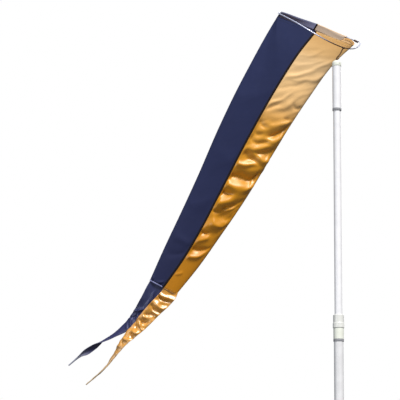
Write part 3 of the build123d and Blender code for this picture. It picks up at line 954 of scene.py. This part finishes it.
def make_tail(name, table, creases, facets, looks, node):
    stations, at = smooth_rows(table, TAIL_ROWS)
    width = stations[:, 4]
    points, across = tail_ribbon(stations)
    down = np.repeat(at[:, None], TAIL_COLUMNS, axis=1)
    placed = [(d, share * float(np.interp(d, at, width)), *rest) for d, share, *rest in creases]
    height = creased(down - TAIL_START, across, placed)
    crumple = crumpled(down, across, *facets)
    height += crumple - crumple.mean()
    height *= np.minimum(1, width[:, None] / FULL_CREASE_WIDTH) ** 1.5 * fade(down, 0.0, TAIL_HELD)
    normal = normals_of(points)
    points = roll_edges(points + normal * height[..., None], normal)
    around, along = lengths_along(points, 1), lengths_along(points, 0)
    piece = cloth_piece(name, points, around, along, looks, CLOTH_THICKNESS)
    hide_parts(node)


# ---- weld
WELD_RINGS = 10
WELD_SEGMENTS = 18
WELD_HALF_LENGTH = 0.0062
WELD_RADIUS = 0.0034
WELD_DROP = 0.0018
WELD_LUMPS = 0.12
WELD_GRAIN = 0.03


def make_weld():
    """Lumpy weld bead round the joint between the stem and the hoop."""
    rng = np.random.default_rng(5)
    middle = hoop_point(STEM_ANGLE, below=WELD_DROP)
    ahead = unit(hoop_point(STEM_ANGLE - 4) - hoop_point(STEM_ANGLE + 4))
    side = unit(np.cross(ahead, HOOP_DOWN))
    up = np.cross(side, ahead)
    verts = []
    for ring in range(WELD_RINGS + 1):
        polar = math.pi * ring / WELD_RINGS
        for segment in range(WELD_SEGMENTS):
            turn = 2 * math.pi * segment / WELD_SEGMENTS
            lump = 1 + WELD_LUMPS * math.sin(3 * turn + 2 * polar) + rng.normal(0, WELD_GRAIN)
            along = WELD_HALF_LENGTH * math.cos(polar) * lump
            around = WELD_RADIUS * math.sin(polar) * lump
            verts.append(middle + along * ahead + around * (math.cos(turn) * side + math.sin(turn) * up))
    mesh = bpy.data.meshes.new("weld_bead")
    mesh.from_pydata([tuple(v) for v in verts], [], tube_faces(0, WELD_RINGS, WELD_SEGMENTS))
    mesh.validate()
    piece = new_piece("weld_bead", mesh, ["bronzed"])
    smooth = piece.modifiers.new("smooth", "SUBSURF")
    smooth.levels = smooth.render_levels = 1


# ---- studio
def make_camera():
    """Below the sock, level with the foot, looking up through a long lens."""
    pitch, roll = math.radians(13.0), math.radians(0.65)
    data = bpy.data.cameras.new("camera")
    data.sensor_width = 36.0
    data.lens = 151.35
    data.clip_end = 60
    camera = add_object("camera", data)
    ahead = Vector((0, math.cos(pitch), math.sin(pitch)))
    up = Vector((0, -math.sin(pitch), math.cos(pitch)))
    right = Vector((1, 0, 0))
    rolled_right = right * math.cos(roll) + up * math.sin(roll)
    rolled_up = up * math.cos(roll) - right * math.sin(roll)
    stand = Matrix((rolled_right, rolled_up, -ahead)).transposed().to_4x4()
    stand.translation = Vector((-0.4535, -5.4, 0.044))
    camera.matrix_world = stand
    bpy.context.scene.camera = camera


def make_light(name, kind, spot, target, energy, colour, **settings):
    """Light at a spot, facing a target."""
    data = bpy.data.lights.new(name, kind)
    data.energy = energy
    data.color = colour
    for setting, value in settings.items():
        setattr(data, setting, value)
    light = add_object(name, data)
    light.location = spot
    light.rotation_euler = (Vector(target) - Vector(spot)).to_track_quat("-Z", "Y").to_euler()


def make_world():
    """White behind everything, and a dim, cool light from all round."""
    world = bpy.data.worlds.new("studio")
    bpy.context.scene.world = world
    world.use_nodes = True
    nodes, links = world.node_tree.nodes, world.node_tree.links
    seen = nodes["Background"]
    seen.inputs["Color"].default_value = (1, 1, 1, 1)
    lit = nodes.new("ShaderNodeBackground")
    lit.inputs["Color"].default_value = (0.92, 0.95, 1.0, 1)
    lit.inputs["Strength"].default_value = 0.21
    path = nodes.new("ShaderNodeLightPath")
    mix = nodes.new("ShaderNodeMixShader")
    links.new(path.outputs["Is Camera Ray"], mix.inputs["Fac"])
    links.new(lit.outputs["Background"], mix.inputs[1])
    links.new(seen.outputs["Background"], mix.inputs[2])
    links.new(mix.outputs["Shader"], nodes["World Output"].inputs["Surface"])
    bpy.context.scene.view_settings.view_transform = "Standard"


def make_lights():
    """A far soft key that is the same everywhere, a cool fill and a light from behind."""
    middle = (-0.3, 0.1, 1.4)
    disk = dict(shape="DISK")
    make_light("key", "SUN", (0.9, -2.6, 4.9), middle, 5.0, (1.0, 0.98, 0.96), angle=math.radians(17))
    make_light("fill", "AREA", (-3.2, -2.6, 0.9), (0, 0, 0.9), 56, (0.92, 0.96, 1.0), size=2.5, **disk)
    make_light("back", "AREA", (0.5, 3.5, 3.2), middle, 60, (1, 1, 1), size=2.0, **disk)


def make_floor():
    """Wide pale ground, which throws no light or reflection back on the object."""
    reach = 14.0
    corners = [(-reach, -reach, 0), (reach, -reach, 0), (reach, reach, 0), (-reach, reach, 0)]
    mesh = bpy.data.meshes.new("floor")
    mesh.from_pydata(corners, [], [(0, 1, 2, 3)])
    floor = add_object("floor", mesh)
    mesh.materials.append(materials["floor"])
    floor.visible_diffuse = floor.visible_glossy = False


# ---- the rigid pieces
# The pieces that have each look.
RIGID_LOOKS = {
    "tube": ["upper_tube", "rotating_sleeve"],
    "lower_tube": ["lower_tube"],
    "plastic": ["foot_plug", "lock_nut"],
    "pale": ["lock_body", "dome_cap"],
    "nylon": ["lock_collet", "bottom_bush", "pivot_plug", "upper_bush", "lower_bush"],
    # The rubber rings' grey is partly painted shade.
    "rubber": ["lock_gasket", "sleeve_ring"],
    "wire": ["hoop_wire"],
    "bronzed": ["hoop_stem"],
    "dark_steel": ["crimp_ferrule", "stem_set_screw"],
    "steel": ["thrust_washer", "retaining_clip"],
}


def dress_rigid_pieces():
    for look, nodes in RIGID_LOOKS.items():
        for node in nodes:
            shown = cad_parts[node]
            shown.data.materials.clear()
            shown.data.materials.append(materials[look])


# ---- the sock
def make_mouth_hems(navy, gold, back, far_gold):
    """The pockets on the far half of the wire, and the binding between them."""
    far_navy = range(COLUMNS // 2 + 2, COLUMNS)
    # The hems' inner flaps show the insides: the navy one painted lighter as light through the cloth, the
    # gold one painted grey as shade.
    navy_hem = make_pocket("navy_mouth_hem", navy, far_navy, False, ["navy_in", "navy"])
    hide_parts("navy_hem")
    gold_hem = make_pocket("gold_mouth_hem", gold, far_gold, True, ["grey_in", "gold"])
    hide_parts("gold_hem")
    # The back seam's binding carries on over the wire and covers the gap between the two hems.
    tape_loop = make_pocket("back_tape_loop", loop_strip(back, gold.down), range(3), False,
                            ["tape", "tape"], LOOP_RADIUS)
    return navy_hem, gold_hem, tape_loop


def make_narrow_hems(navy, gold, far_gold):
    """The hems along the bare near half of the mouth, and round the lower end."""
    mouth, end = (0, NEAR_ROW), (-1, -1 - NEAR_ROW)
    everywhere = range(COLUMNS)
    navy_edge = make_edge_fold("navy_near_hem", navy, mouth, range(COLUMNS // 2 + 3), ["navy"])
    gold_edge = make_edge_fold("gold_near_hem", gold, mouth, range(far_gold[0] - 1), ["gold"])
    # The navy end hem is painted pale as a highlight along it.
    navy_end = make_edge_fold("navy_end_hem", navy, end, everywhere, ["end_highlight"],
                              depth=0.003, radius=0.0009, side=-1)
    gold_end = make_edge_fold("gold_end_hem", gold, end, everywhere, ["gold"])
    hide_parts("end_hem")
    return [navy_edge, navy_end], [gold_edge, gold_end]


def make_hem_stitches(cloth, grid, mouth_thread, end_thread):
    return [stitch_row(f"{cloth}_mouth_stitches", grid, STITCH_ROW, [mouth_thread]),
            stitch_row(f"{cloth}_end_stitches", grid, -STITCH_ROW, [end_thread])]


def make_sock():
    # The navy panel's inside is painted lighter, as light shining through the cloth.
    navy_piece, navy = make_panel("navy_cloth", -1, NAVY_CREASES, NAVY_CRUMPLE,
                                  ["navy", "navy_in"], "navy_panel")
    gold_piece, gold = make_panel("gold_cloth", 1, GOLD_CREASES, GOLD_CRUMPLE,
                                  ["gold", "gold_in"], "gold_panel")
    to_gold = unit(gold.points[:, 0] - navy.points[:, 0])
    seams = {"front": seam_between(gold, navy, 0, 2, to_gold),
             "back": seam_between(gold, navy, -1, -3, -to_gold)}
    tapes = [make_tape(f"{way}_tape", seam, f"{way}_seam_tape") for way, seam in seams.items()]
    gold_angles = hoop_angle(gold.points[0])
    far_gold = [c for c in range(COLUMNS // 2, COLUMNS) if gold_angles[c] < HEM_ANGLE]
    navy_hem, gold_hem, tape_loop = make_mouth_hems(navy, gold, seams["back"], far_gold)
    navy_folds, gold_folds = make_narrow_hems(navy, gold, far_gold)
    navy_rows = make_hem_stitches("navy", navy, "thread_navy", "thread_navy")
    gold_rows = make_hem_stitches("gold", gold, "thread_cream", "thread_gold")
    for way, seam in seams.items():
        gold_rows += stitch_tape(f"{way}_tape", seam)


# ---- everything
make_camera()
make_world()
make_lights()
make_floor()
dress_rigid_pieces()
make_sock()
make_tail("navy_streamer", NAVY_TAIL, NAVY_TAIL_CREASES, NAVY_TAIL_FACETS,
          ["tail_navy"], "navy_tail")
make_tail("gold_streamer", GOLD_TAIL, GOLD_TAIL_CREASES, GOLD_TAIL_FACETS,
          ["tail_gold"], "gold_tail")
make_weld()
